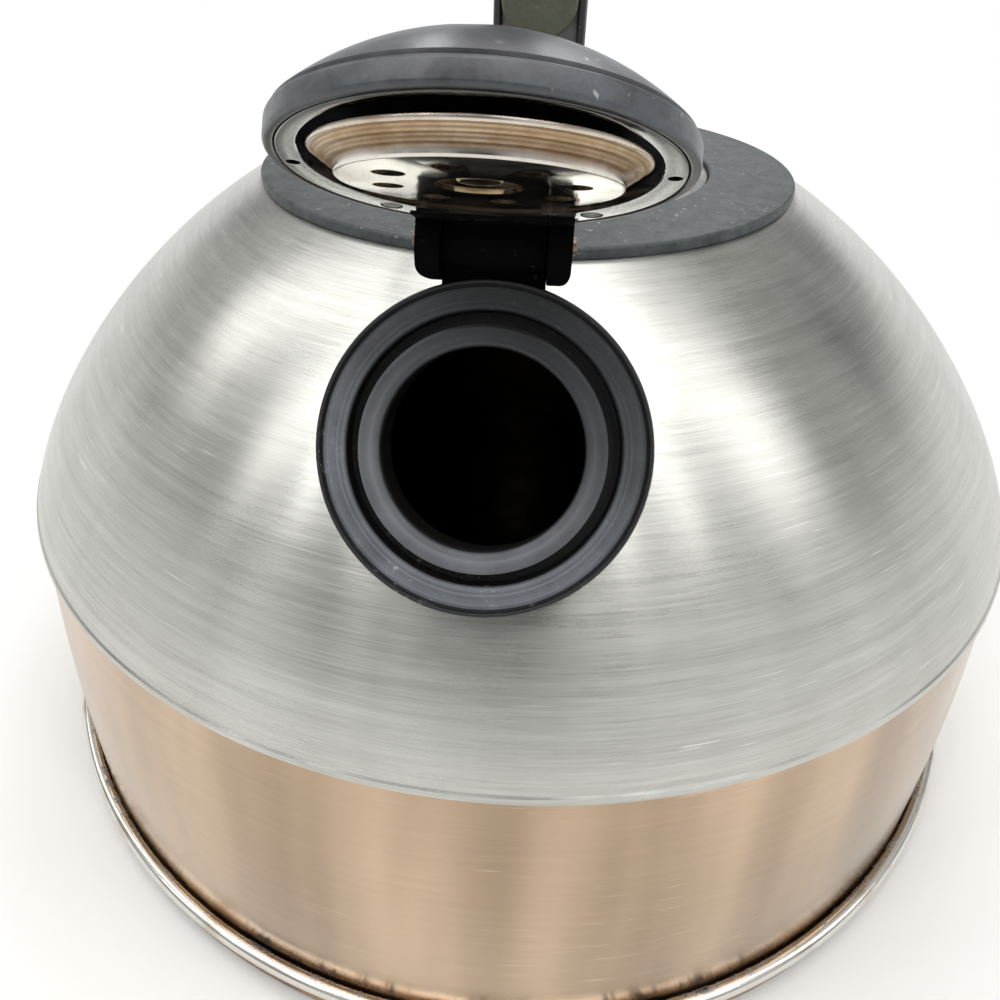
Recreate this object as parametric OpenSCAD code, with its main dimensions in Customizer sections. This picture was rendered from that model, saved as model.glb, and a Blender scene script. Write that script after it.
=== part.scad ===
// Whistling kettle: steel body with a black collar, a rear-mounted handle,
// a lift-off lid, and a short spout closed by a hinged whistle cap.
// The origin is on the floor under the middle of the body. The spout points to -Y.
// The cap is drawn open, and closes by turning cap_open degrees about +X.

/* [Body] */
// Radius of the base, to the outside of the bead. The heat disc stays just inside it
base_r = 110; // [90:1:130]
// Height of the middle of the bead above the floor
bead_z = 7; // [6:0.5:10]
// Radius of the bead's round section
bead_wire = 1.4; // [1:0.1:2]
// Outer radius of the side band at its foot, which the bead is rolled round
band_r = 107; // [88:0.5:107]
// Outer radius of the dome at the seam with the side band
seam_r = 104.8; // [86:1:125]
// Height of the seam above the floor
seam_z = 64.5; // [50:1:80]
// How far the side band swells between its two ends
band_swell = 0.8; // [0:0.1:3]
// How far the dome stands out over the side band at the seam
seam_step = 0.6; // [0.2:0.1:1]
// Thickness of the steel sheet
wall = 1; // [0.8:0.1:1.4]
// Fullness of the dome near the seam, where 2 is an ellipse
dome_power = 2.1; // [1.8:0.05:2.3]
// Fullness of the dome near the collar, where 2 is an ellipse
crown_power = 1.3; // [1.25:0.05:1.5]

/* [Base] */
// Thickness of the heat-spreading disc under the body
disc_t = 5.5; // [4:0.5:5.5]
// Radius of the rounded lower edge of the disc
disc_round = 2.5; // [1:0.25:2.5]

/* [Collar] */
// Outer radius of the black collar on top of the dome
collar_r = 52.7; // [48:0.5:60]
// Height of the collar's top face above the floor
collar_z = 122.8; // [112:1:140]
// Thickness of the collar at its edge
collar_t = 2; // [1.6:0.2:3]
// Inner radius of the filling throat in the dome
throat_r = 38; // [34:0.5:39]
// Depth of the throat's turned-down lip
throat_lip = 6; // [5:0.5:8]

/* [Lid] */
// Rise of the lid's dome over its rim
lid_rise = 6.5; // [4:0.5:8]
// Radius of the lid's knob
knob_r = 11; // [8:0.5:13]
// Height of the knob over the top of the lid
knob_h = 11; // [9:0.5:12]

/* [Handle] */
// Width of the handle
handle_w = 22; // [18:0.5:26]
// Thickness of the handle
handle_t = 12; // [10:0.5:12]
// Distance of the handle's upright from the body's axis
handle_y = 45.1; // [45:0.1:47]
// Height of the top of the upright
post_z = 150; // [144:1:165]
// Radius of the rear bend
bend_r = 42; // [36:1:50]
// Angle of the rear bend
bend_a = 75; // [70:1:80]
// Radius of the long bow over the lid
bow_r = 110; // [95:1:130]
// Angle of the long bow
bow_a = 37; // [30:1:42]
// Width of the soft grip pad let into the handle's inner side
pad_w = 17.8; // [14:0.2:18]
// How far the grip pad stands out of the handle
pad_proud = 0.8; // [0.4:0.1:1.5]

/* [Spout] */
// Angle of the spout's axis above the horizontal
spout_tilt = 30; // [25:1:40]
// Distance of the spout mouth from the body's axis
spout_out = 86.6; // [84:0.5:92]
// Height of the spout mouth's middle above the floor
spout_up = 109; // [106:0.5:116]
// Radius of the open bore through the mouth
bore_r = 12.8; // [11:0.1:13.4]
// Outer radius of the steel spout tube
tube_r = 15.5; // [15.2:0.1:15.6]
// Outer radius of the black mouth ring
ring_r = 21.2; // [20.9:0.1:21.4]
// Depth of the mouth ring, front to back
ring_depth = 10; // [8:0.5:11]
// Radial width of the groove round the seal
groove_w = 1.8; // [1.4:0.1:1.9]
// How far the silicone seal stands in front of the ring's face
seal_proud = 1.5; // [1:0.1:1.8]

/* [Cap hinge] */
// Height of the hinge pin above the spout's axis
pin_u = 25.8; // [25.6:0.1:27]
// Distance of the hinge pin behind the groove's front edge
pin_back = 1.8; // [1.2:0.1:2.4]
// Radius of the hinge pin
pin_r = 1.1; // [0.9:0.1:1.5]
// Width of the hinge knuckle on the ring
knuckle_w = 12.4; // [10:0.2:14]
// Width of each hinge ear on the cap
ear_w = 2.9; // [2.6:0.1:3.4]
// Angle that the cap stands open as drawn
cap_open = 85; // [60:1:95]

/* [Whistle cap] */
// Outer radius of the cap
cap_r = 19.9; // [19.7:0.1:20.4]
// Height of the cap's side band
cap_band = 2.3; // [1.6:0.1:4]
// Rise of the cap's dome over its band
cap_rise = 8.5; // [6.5:0.5:11]
// Wall of the cap's shell
cap_wall = 1; // [0.8:0.1:1.2]
// Angle between the cap's rim and the whistle, which leaves a finger gap
cap_wedge = 7; // [5:0.5:8]
// How far the cap's shell is set from the whistle's axis toward the hinge
cap_shift = 1.5; // [0:0.1:2]
// Radius of the whistle cup's end plate
plate_r = 13.3; // [13.2:0.1:13.6]
// Number of steam holes in the end plate
steam_holes = 8; // [6:1:9]
// Radius of each steam hole
steam_hole_r = 1.5; // [1:0.1:1.8]
// Radius of the circle that the steam holes stand on
steam_circle_r = 9; // [8:0.1:9.4]
// How far the ring of steam holes is turned about the whistle's axis
steam_turn = 11; // [0:1:30]
// Radius of the steam vent through the cap's dome
vent_r = 1.9; // [1.2:0.1:2.5]

/* [Hidden] */
$fn = 96;
eps = 0.01;
// Running gap between pieces that move past each other
gap = 0.3;
// Radial clearance of a pin in its bore
pin_fit = 0.05;
// Radial clearance of fixed pieces that fit round each other
snug = 0.1;

// Places worked out from the sizes above
land_z = collar_z - collar_t;
dome_steps = 18;
dome_a = acos(pow(collar_r / seam_r, dome_power / 2));
dome_h = (land_z - seam_z) / pow(sin(dome_a), 2 / crown_power);
floor_t = 1;
floor_z = disc_t + snug;
band_bottom = floor_z + floor_t;
bead_mid = band_r + 2 * snug + bead_wire;
disc_inset = 1;
throat_z = land_z - throat_lip;
sleeve_r = throat_r - snug;
sleeve_in = sleeve_r - 1.2;
ledge_z = land_z - 2.8;
ledge_in = sleeve_in - 3;
lid_r = sleeve_in - gap;
gasket_t = 1.4;
gasket_z = ledge_z + gap;
lid_z = gasket_z + gasket_t;
lid_rim = 2.4;
lid_top = lid_z + lid_rim + lid_rise;
lid_wall = 0.8;
plug_r = ledge_in - 0.6;
plug_depth = 6;
foot_h = 13;
foot_floor = 2;
foot_w = handle_w + 6;
foot_t = handle_t + 2.8;
bow_y = handle_y - bend_r + (bend_r - bow_r) * cos(bend_a);
bow_z = post_z + (bend_r - bow_r) * sin(bend_a);
handle_round = 4.6;
channel_w = pad_w + 2 * snug;
channel_d = 7.5;
core_t = 3;
bolt_r = 2;
bolt_x = 5.5;
lip_top = -0.6;
face_n = -1.1;
groove_r = tube_r + groove_w;
groove_n = -4.5;
seal_n = face_n + seal_proud;
seal_back = -5;
tube_back = -26;
tube_end = -17;
knuckle_r = 3.5;
ear_reach = 3.5;
ear_tail = 4.9;
ear_head = 3.9;
ear_in = knuckle_w / 2 + gap;
ear_out = ear_in + ear_w;
// The ears swing past the ring's rim with a running gap
ear_sweep = pin_u - sqrt(ring_r * ring_r - ear_in * ear_in) - gap;
pin_n = -pin_back;
neck_n = -5.3;
plate_n = seal_n + gap;
sheet = 0.5;
cup_steps = 3;
cup_step_r = 0.8;
cup_step_n = 0.55;
cup_first = 1;
cup_r = plate_r + cup_steps * cup_step_r;
pocket_r = cup_r + 0.8;
// The closed cap's rim clears the ring's lip at the hinge side
rim_n = lip_top + gap + cap_r * sin(cap_wedge);
cap_in = cap_r - cap_wall;
base_t = 1.4;
boss_r = 3.2;
hub_r = 4.2;
vent_y = 11.5;
rivet_grip = 4;
disc_r = plate_r + cup_step_r - sheet - snug;
disc_n = plate_n + cup_first + cup_step_n + pin_fit;
rivet_r = 1.2;
screw_head_r = 1.05;
screw_r = 0.7;
screw_x = 11;
screw_y = 13.1;
mould_hole_x = 17.7;

// A frame on the spout: X across, Y up along the mouth, Z out of the mouth
module at_spout() {
    translate([0, -spout_out, spout_up]) rotate([90 - spout_tilt, 0, 0]) children();
}

// The spout's frame turned about the hinge pin to the open cap
module at_cap() {
    at_spout() translate([0, pin_u, pin_n]) rotate([-cap_open, 0, 0])
        translate([0, -pin_u, -pin_n]) children();
}

// The cap's own frame, tipped from the whistle by the finger gap's wedge
module at_shell() {
    at_cap() translate([0, cap_shift, rim_n]) rotate([-cap_wedge, 0, 0]) children();
}

// Points of the dome's curve, from the seam up to the collar's edge
function dome_curve(r, h, last) = [
    for (i = [0:dome_steps])
        let (a = last * i / dome_steps)
        [r * pow(cos(a), 2 / dome_power), seam_z + h * pow(sin(a), 2 / crown_power)]
];

function reversed(list) = [for (i = [len(list) - 1:-1:0]) list[i]];

// Outer radius of the side band at a share t of its height
function band_at(t) = band_r + (seam_r - seam_step - band_r) * t + band_swell * sin(180 * t);

// Points of a round cap of height h over a flat circle of radius r
function cap_curve(r, h, z, steps = 12) =
    let (big = (r * r + h * h) / (2 * h), a = asin(r / big))
    [for (i = [0:steps]) let (b = a * (1 - i / steps)) [big * sin(b), z + h - big * (1 - cos(b))]];

// A flat plate with round corners, from exact squares and circles
module rounded(size, r) {
    square([size[0] - 2 * r, size[1]], center = true);
    square([size[0], size[1] - 2 * r], center = true);
    for (sx = [-1, 1], sy = [-1, 1])
        translate([sx * (size[0] / 2 - r), sy * (size[1] / 2 - r)]) circle(r, $fn = 48);
}

module bar_x(r, from, to) {
    translate([from, 0, 0]) rotate([0, 90, 0]) cylinder(r = r, h = to - from, $fn = 48);
}

module dome_shell() color([0.78, 0.79, 0.79]) difference() {
    rotate_extrude($fn = 180) polygon(concat(
        dome_curve(seam_r, dome_h, dome_a),
        [
            [throat_r, land_z], [throat_r, throat_z],
            [throat_r + wall, throat_z], [throat_r + wall, land_z - wall]
        ],
        reversed(dome_curve(seam_r - wall, dome_h - wall, dome_a))
    ));
    at_spout() translate([0, 0, tube_back - 10]) cylinder(r = tube_r + snug, h = 40);
    for (s = [-1, 1])
        translate([s * bolt_x, handle_y, land_z - 5]) cylinder(r = bolt_r + snug, h = 10, $fn = 32);
}

module band_shell() color([0.74, 0.72, 0.69]) {
    steps = 8;
    outer = [
        for (i = [0:steps])
            [band_at(i / steps), band_bottom + (seam_z - snug - band_bottom) * i / steps]
    ];
    rotate_extrude($fn = 180)
        polygon(concat(outer, reversed([for (p = outer) [p[0] - wall, p[1]]])));
}

module base_bead() color([0.85, 0.85, 0.84])
    rotate_extrude($fn = 180) {
        translate([bead_mid, bead_z]) circle(bead_wire, $fn = 32);
        polygon([
            [band_r + snug, floor_z], [bead_mid, floor_z],
            [bead_mid, bead_z], [band_r + snug, bead_z]
        ]);
    }

module base_disc() color([0.66, 0.55, 0.42])
    rotate_extrude($fn = 180) {
        flat_r = base_r - disc_inset - disc_round;
        square([flat_r, disc_t]);
        translate([0, disc_round]) square([flat_r + disc_round, disc_t - disc_round]);
        translate([flat_r, disc_round]) circle(disc_round, $fn = 48);
    }

module body_floor() color([0.72, 0.72, 0.72])
    translate([0, 0, floor_z]) cylinder(r = band_r, h = floor_t - snug, $fn = 180);

module collar_ring() color([0.12, 0.13, 0.14]) difference() {
    edge = 0.5;
    rotate_extrude($fn = 144) polygon([
        [sleeve_in, collar_z], [collar_r - edge, collar_z], [collar_r, collar_z - edge],
        [collar_r, land_z + edge], [collar_r - edge, land_z], [sleeve_r, land_z],
        [sleeve_r, throat_z], [ledge_in, throat_z], [ledge_in, ledge_z],
        [sleeve_in, ledge_z]
    ]);
    for (s = [-1, 1])
        translate([s * bolt_x, handle_y, land_z - 5]) cylinder(r = bolt_r + snug, h = 10, $fn = 32);
}

module throat_nut() color([0.12, 0.12, 0.12]) {
    nut_h = 3;
    rotate_extrude($fn = 96) polygon([
        [ledge_in, throat_z - nut_h], [throat_r + 3.5, throat_z - nut_h],
        [throat_r + 3.5, throat_z], [ledge_in, throat_z]
    ]);
}

module spout_tube() color([0.76, 0.77, 0.77]) at_spout() difference() {
    // The inner end is cut level with the dome's slope
    dome_slope = 12;
    block = 4 * tube_r;
    translate([0, 0, tube_back]) cylinder(r = tube_r, h = seal_back - tube_back);
    translate([0, 0, tube_back - 1]) cylinder(r = tube_r - wall, h = seal_back - tube_back + 2);
    translate([0, 0, tube_end]) rotate([-dome_slope, 0, 0])
        translate([-block / 2, -block / 2, -block]) cube(block);
}

module spout_ring() color([0.09, 0.1, 0.11]) difference() {
    lip_w = 0.5;
    at_spout() union() {
        rotate_extrude() polygon([
            [tube_r + snug, -1 - ring_depth], [tube_r + 2, -1 - ring_depth],
            [tube_r + 3.3, 0.5 - ring_depth], [ring_r, -4.2], [ring_r, -1.4],
            [ring_r - 0.2, lip_top], [ring_r - 0.2 - lip_w, lip_top],
            [ring_r - 0.4 - lip_w, face_n], [groove_r + 0.3, face_n],
            [groove_r, face_n - 0.3], [groove_r, groove_n], [tube_r + snug, groove_n]
        ]);
        // Neck and knuckle of the cap's hinge
        translate([-knuckle_w / 2, ring_r - 2, neck_n])
            cube([knuckle_w, pin_u - ring_r + 2, -1.4 - neck_n]);
        translate([0, pin_u, pin_n]) bar_x(knuckle_r, -knuckle_w / 2, knuckle_w / 2);
    }
    at_spout() translate([0, pin_u, pin_n]) bar_x(pin_r + snug / 2, -20, 20);
    // The back of the ring follows the dome
    rotate_extrude($fn = 180) polygon(concat(
        dome_curve(seam_r + snug, dome_h + snug, 90), [[0, seam_z]]
    ));
}

module spout_seal() color([0.16, 0.17, 0.18]) at_spout() {
    // The mouth is a lip that overhangs the seal's sleeve
    undercut = 1.2;
    rotate_extrude() polygon([
        [bore_r + undercut, seal_back], [bore_r + undercut, seal_n - 3.2],
        [bore_r, seal_n - 2.2], [bore_r, seal_n - 0.7], [bore_r + 0.2, seal_n - 0.2],
        [bore_r + 0.5, seal_n], [tube_r - 0.4, seal_n], [tube_r, seal_n - 0.4],
        [tube_r, seal_back]
    ]);
}

module hinge_pin() color([0.6, 0.58, 0.56]) at_spout()
    translate([0, pin_u, pin_n]) bar_x(pin_r, -ear_out - 1, ear_out + 0.6);

// The handle's section, with its inner side toward -X
module handle_section(grow = 0) {
    rounded([handle_t + 2 * grow, handle_w + 2 * grow], handle_round + grow);
}

module channel_section(from, to, width) {
    translate([from, -width / 2]) square([to - from, width]);
}

// Sweeps a section up the post, round the bend and along the bow
module along_handle(from_z) {
    translate([0, handle_y, from_z]) rotate([0, 0, 90])
        linear_extrude(height = post_z - from_z) children();
    translate([0, handle_y - bend_r, post_z]) rotate([90, 0, 90])
        rotate_extrude(angle = bend_a) translate([bend_r, 0]) children();
    translate([0, bow_y, bow_z]) rotate([90, 0, 90]) rotate([0, 0, bend_a])
        rotate_extrude(angle = bow_a) translate([bow_r, 0]) children();
}

module handle_shell() color([0.1, 0.1, 0.1])
    along_handle(collar_z + foot_floor) difference() {
        handle_section();
        channel_section(-handle_t, -handle_t / 2 + channel_d, channel_w);
    }

module handle_core() color([0.6, 0.6, 0.6])
    along_handle(collar_z + foot_floor) channel_section(
        -handle_t / 2 + channel_d - snug - core_t, -handle_t / 2 + channel_d - snug,
        channel_w - 2 * snug
    );

module grip_pad() color([0.42, 0.43, 0.36]) {
    pad_from = -handle_t / 2 - pad_proud;
    pad_to = -handle_t / 2 + channel_d - 2 * snug - core_t;
    round_r = 1.2;
    // The pad starts above the foot with a round end
    start_z = collar_z + foot_h + 4 + pad_w / 2;
    along_handle(start_z) {
        translate([pad_from + round_r, -pad_w / 2]) square([pad_to - pad_from - round_r, pad_w]);
        translate([pad_from, -pad_w / 2 + round_r]) square([round_r + eps, pad_w - 2 * round_r]);
        for (s = [-1, 1])
            translate([pad_from + round_r, s * (pad_w / 2 - round_r)]) circle(round_r, $fn = 32);
    }
    intersection() {
        translate([0, handle_y + pad_from, start_z]) rotate([-90, 0, 0])
            cylinder(r = pad_w / 2, h = pad_to - pad_from);
        translate([-pad_w, 0, start_z - pad_w]) cube([2 * pad_w, 2 * handle_y, pad_w]);
    }
}

module handle_foot() color([0.1, 0.1, 0.1]) difference() {
    translate([0, handle_y, collar_z]) rotate([0, 0, 90])
        linear_extrude(height = foot_h) rounded([foot_t, foot_w], 5);
    translate([0, handle_y, collar_z + foot_floor - snug]) rotate([0, 0, 90])
        linear_extrude(height = foot_h) handle_section(snug);
    for (s = [-1, 1])
        translate([s * bolt_x, handle_y, collar_z - 1]) cylinder(r = bolt_r + snug, h = 5, $fn = 32);
}

module handle_nose() color([0.1, 0.1, 0.1]) {
    length = 7;
    shrink = 2.2;
    translate([0, bow_y, bow_z]) rotate([90, 0, 90]) rotate([0, 0, bend_a + bow_a])
        translate([bow_r, snug, 0]) rotate([-90, 0, 0]) hull() {
            linear_extrude(height = 1) handle_section();
            translate([0, 0, length * 0.7]) linear_extrude(height = eps)
                handle_section(-shrink / 3);
            translate([0, 0, length]) linear_extrude(height = eps) handle_section(-shrink);
        }
}

module handle_bolts() color([0.7, 0.7, 0.7])
    for (s = [-1, 1]) translate([s * bolt_x, handle_y, 0]) {
        translate([0, 0, land_z - wall - 3]) cylinder(r = 3.6, h = 3 - snug / 2, $fn = 32);
        translate([0, 0, land_z - wall - 3]) cylinder(r = bolt_r, h = wall + 3 + collar_t + 1.6, $fn = 32);
    }

module cap_shell() color([0.13, 0.14, 0.15]) difference() {
    union() {
        at_shell() rotate_extrude() polygon(concat(
            [[cap_in, 0], [cap_r, 0]],
            cap_curve(cap_r, cap_rise, cap_band),
            reversed(cap_curve(cap_in, cap_rise - 1.4, cap_band))
        ));
        // Boss that carries the whistle's rivet
        at_cap() translate([0, 0, disc_n + sheet + pin_fit])
            cylinder(r = boss_r, h = rim_n + cap_band + cap_rise - disc_n - 1.5, $fn = 48);
    }
    // Window for the hinge plate
    at_cap() translate([-ear_out - snug, 16.5, -4]) cube([2 * (ear_out + snug), 12, 6.7]);
    // Steam vent on the side away from the hinge
    at_shell() translate([-0.5, -vent_y, 4]) cylinder(r = vent_r, h = 12, $fn = 32);
    at_cap() translate([0, 0, disc_n]) cylinder(r = rivet_r + snug, h = rivet_grip + 1, $fn = 32);
}

module cap_base() color([0.07, 0.07, 0.08]) difference() {
    union() {
        at_shell() cylinder(r = cap_in - snug, h = base_t);
        // Hinge plate and ears
        at_cap() {
            translate([-ear_out, 16.8, 0]) cube([2 * ear_out, 5.4, 2.6]);
            for (s = [-1, 1]) {
                intersection() {
                    translate([s * (ear_in + ear_w / 2), pin_u, pin_n]) hinge_ear(s);
                    translate([0, pin_u, pin_n]) bar_x(ear_sweep, -20, 20);
                }
                translate([s * (ear_in + ear_w / 2) - ear_w / 2, 20, 0]) cube([ear_w, pin_u - 20, 2.1]);
            }
        }
    }
    at_cap() translate([0, 0, -6]) cylinder(r = pocket_r, h = 14);
    at_cap() translate([0, pin_u, pin_n]) bar_x(pin_r + pin_fit, -20, 20);
    for (s = [-1, 1]) at_shell() translate([s * screw_x, screw_y, -1]) {
        cylinder(r = screw_r + snug, h = 4, $fn = 24);
        cylinder(r = screw_head_r + snug, h = 1.5, $fn = 24);
    }
    // Moulding holes at the two sides
    for (s = [-1, 1]) at_shell() translate([s * mould_hole_x, -1, -1]) cylinder(r = 0.7, h = 2, $fn = 24);
}

// One ear of the hinge, with a round outer lower corner
module hinge_ear(side) {
    corner = 1.6;
    translate([0, ear_reach + 0.4, 0]) rotate([90, 0, 0]) linear_extrude(height = 2 * ear_reach + 0.4) {
        translate([-ear_w / 2, -ear_tail + corner]) square([ear_w, ear_tail + ear_head - corner]);
        translate([side > 0 ? -ear_w / 2 : -ear_w / 2 + corner, -ear_tail])
            square([ear_w - corner, corner + eps]);
        translate([side * (ear_w / 2 - corner), -ear_tail + corner]) circle(corner, $fn = 32);
    }
}

module cap_screws() color([0.3, 0.3, 0.3])
    for (s = [-1, 1]) at_shell() translate([s * screw_x, screw_y, pin_fit]) {
        cylinder(r = screw_head_r, h = 0.4, $fn = 24);
        cylinder(r = screw_r, h = 1.3, $fn = 24);
    }

module whistle_cup() color([0.8, 0.78, 0.74]) at_cap() difference() {
    rotate_extrude() polygon(concat(
        [[0, plate_n], [plate_r, plate_n], [plate_r, plate_n + cup_first]],
        [
            for (i = [1:cup_steps], j = [0, 1])
                [plate_r + i * cup_step_r, plate_n + cup_first + (i - 1 + j) * cup_step_n]
        ],
        [
            for (i = [cup_steps:-1:1], j = [1, 0])
                [
                    plate_r + (i - 1 + j) * cup_step_r - sheet,
                    plate_n + cup_first + (i - 1) * cup_step_n + sheet + pin_fit
                ]
        ],
        [[plate_r - sheet, plate_n + sheet], [0, plate_n + sheet]]
    ));
    for (i = [0:steam_holes - 1]) rotate([0, 0, i * 360 / steam_holes - 90 - steam_turn])
        translate([steam_circle_r, 0, plate_n - 1]) cylinder(r = steam_hole_r, h = 3, $fn = 32);
    translate([0, 0, plate_n - 1]) cylinder(r = hub_r, h = 3, $fn = 48);
}

module whistle_disc() color([0.7, 0.68, 0.64]) at_cap() translate([0, 0, disc_n]) difference() {
    cylinder(r = disc_r, h = sheet);
    translate([0, 0, -1]) cylinder(r = rivet_r + snug / 2, h = 3, $fn = 32);
    for (i = [0:3]) rotate([0, 0, 45 + 90 * i])
        translate([6, 0, -1]) cylinder(r = 1, h = 3, $fn = 24);
}

module whistle_rivet() color([0.72, 0.6, 0.42]) at_cap() translate([0, 0, plate_n + 0.3]) {
    cylinder(r = 2.4, h = disc_n - plate_n - 0.35, $fn = 32);
    cylinder(r = rivet_r, h = disc_n - plate_n - 0.3 + rivet_grip, $fn = 32);
}

module lid_shell() color([0.8, 0.8, 0.8]) difference() {
    rotate_extrude() polygon(concat(
        [[lid_r, lid_z]],
        cap_curve(lid_r, lid_rise, lid_z + lid_rim, 10),
        reversed(cap_curve(lid_r - lid_wall, lid_rise, lid_z + lid_rim - lid_wall, 10)),
        [[lid_r - lid_wall, lid_z]]
    ));
    translate([0, 0, lid_z]) cylinder(r = 2 + snug, h = 20, $fn = 32);
}

module lid_plug() color([0.75, 0.75, 0.75]) difference() {
    rotate_extrude() polygon([
        [0, lid_z - plug_depth], [plug_r - 1, lid_z - plug_depth], [plug_r, lid_z - plug_depth + 1],
        [plug_r, lid_z + 0.5], [lid_r - lid_wall - snug, lid_z + 0.5],
        [lid_r - lid_wall - snug, lid_z + 0.5 + sheet], [plug_r - lid_wall, lid_z + 0.5 + sheet],
        [plug_r - lid_wall, lid_z - plug_depth + 1 + lid_wall],
        [plug_r - 1 - lid_wall, lid_z - plug_depth + lid_wall],
        [0, lid_z - plug_depth + lid_wall]
    ]);
    translate([0, 0, lid_z - plug_depth - 1]) cylinder(r = 2 + snug, h = 4, $fn = 32);
}

module lid_gasket() color([0.85, 0.84, 0.8])
    rotate_extrude() polygon([
        [plug_r + snug, gasket_z], [lid_r - 0.2, gasket_z],
        [lid_r - 0.2, lid_z - snug / 2], [plug_r + snug, lid_z - snug / 2]
    ]);

module lid_knob() color([0.1, 0.1, 0.1]) difference() {
    neck_r = 5;
    rotate_extrude() polygon(concat(
        [[0, lid_top + snug / 2], [neck_r + 1.5, lid_top + snug / 2]],
        [[neck_r, lid_top + 2.5], [neck_r, lid_top + 4]],
        [[knob_r - 1.5, lid_top + 5], [knob_r, lid_top + 6.5]],
        cap_curve(knob_r, knob_h - 8, lid_top + 8, 8)
    ));
    translate([0, 0, lid_top - 1]) cylinder(r = 2 + snug, h = knob_h - 3, $fn = 32);
}

module knob_screw() color([0.7, 0.7, 0.7]) {
    head_z = lid_z - plug_depth - 0.8;
    translate([0, 0, head_z - 2.2]) cylinder(r = 3.6, h = 2.2, $fn = 32);
    translate([0, 0, head_z - 0.1]) cylinder(r = 2, h = lid_top + knob_h - 5 - head_z, $fn = 32);
}

module knob_washer() color([0.7, 0.7, 0.7])
    translate([0, 0, lid_z - plug_depth - 0.75]) difference() {
        cylinder(r = 5.5, h = 0.7, $fn = 48);
        translate([0, 0, -1]) cylinder(r = 2 + snug, h = 3, $fn = 32);
    }

dome_shell();
band_shell();
base_bead();
base_disc();
body_floor();
collar_ring();
throat_nut();
spout_tube();
spout_ring();
spout_seal();
hinge_pin();
handle_foot();
handle_shell();
handle_core();
grip_pad();
handle_nose();
handle_bolts();
cap_shell();
cap_base();
cap_screws();
whistle_cup();
whistle_disc();
whistle_rivet();
lid_shell();
lid_plug();
lid_gasket();
lid_knob();
knob_screw();
knob_washer();
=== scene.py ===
import math
import bpy
import bmesh
import numpy as np
from mathutils import Matrix, Vector


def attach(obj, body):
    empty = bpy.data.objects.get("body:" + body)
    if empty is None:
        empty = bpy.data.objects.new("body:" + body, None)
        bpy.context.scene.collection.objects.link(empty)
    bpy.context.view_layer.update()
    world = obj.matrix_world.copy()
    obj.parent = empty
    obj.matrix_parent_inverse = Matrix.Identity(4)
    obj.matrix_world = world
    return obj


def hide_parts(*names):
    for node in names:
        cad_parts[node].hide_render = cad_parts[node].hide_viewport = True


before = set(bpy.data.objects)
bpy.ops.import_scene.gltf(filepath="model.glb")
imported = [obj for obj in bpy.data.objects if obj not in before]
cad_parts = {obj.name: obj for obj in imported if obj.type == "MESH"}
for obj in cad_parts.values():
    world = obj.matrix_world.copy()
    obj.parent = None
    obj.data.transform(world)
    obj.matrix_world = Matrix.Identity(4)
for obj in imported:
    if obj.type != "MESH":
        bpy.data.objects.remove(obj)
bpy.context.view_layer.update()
scene = bpy.context.scene
print("frame loaded")

# Sizes are in millimetres, as in the solids, and mm turns them to metres.
# The origin is on the floor under the middle of the body, with the spout toward -Y.
mm = 0.001

# In the spout's frame u goes up along the mouth, and n out of it.
spout = dict(out=86.6, up=109.0, tilt=30.0, boreR=12.8, tubeR=15.5, grooveR=17.3, ringR=21.2)
hinge = dict(u=25.8, n=-1.8, r=1.1, knuckleR=3.5, earIn=6.5, earOut=9.4, sweep=5.32, open=85.0)
cap = dict(r=19.9, band=2.3, rise=8.5, wall=1.0, wedge=7.0, shift=1.5, n=2.125, pocket=16.5)
whistle = dict(r=13.3, n=0.7, first=1.0, stepR=0.8, stepN=0.55, steps=3, sheet=0.5,
               hubR=4.2, holes=8, holeR=1.5, circleR=9.0, turn=11.0)

# Turns about X, in degrees, of the spout's frame, the open cap's and the cap shell's.
spoutTurn = 90 - spout["tilt"]
capTurn = spoutTurn - hinge["open"]
shellTurn = capTurn - cap["wedge"]


# Grids, profiles and places

def gridFaces(rows, cols, closed):
    # quads between neighbouring points, where each row is a ring; closed joins the last row
    # to the first
    i = np.arange(rows if closed else rows - 1)
    a, b = np.meshgrid(i, np.arange(cols), indexing="ij")
    c, d = (a + 1) % rows, (b + 1) % cols
    quads = np.stack([a * cols + b, a * cols + d, c * cols + d, c * cols + b], -1)
    return quads.reshape(-1, 4).tolist()


def smoothShading(mesh):
    # smooth, with a sharp edge wherever the faces turn by over 32 degrees
    mesh.shade_smooth()
    mesh.set_sharp_from_angle(angle=math.radians(32))
    return mesh


def gridMesh(name, grid, ends=False):
    # a mesh from a (rows, cols, 3) grid in millimetres; ends closes the first and the last
    # row with a flat face each, and otherwise these rows are joined
    rows, cols = grid.shape[:2]
    faces = gridFaces(rows, cols, not ends)
    if ends:
        faces.append(list(range(cols))[::-1])
        faces.append(list(range((rows - 1) * cols, rows * cols)))
    mesh = bpy.data.meshes.new(name)
    mesh.from_pydata((grid.reshape(-1, 3) * mm).tolist(), [], faces)
    work = bmesh.new()
    work.from_mesh(mesh)
    bmesh.ops.remove_doubles(work, verts=work.verts, dist=1e-6)
    bmesh.ops.recalc_face_normals(work, faces=work.faces)
    work.to_mesh(mesh)
    work.free()
    return smoothShading(mesh)


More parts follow.
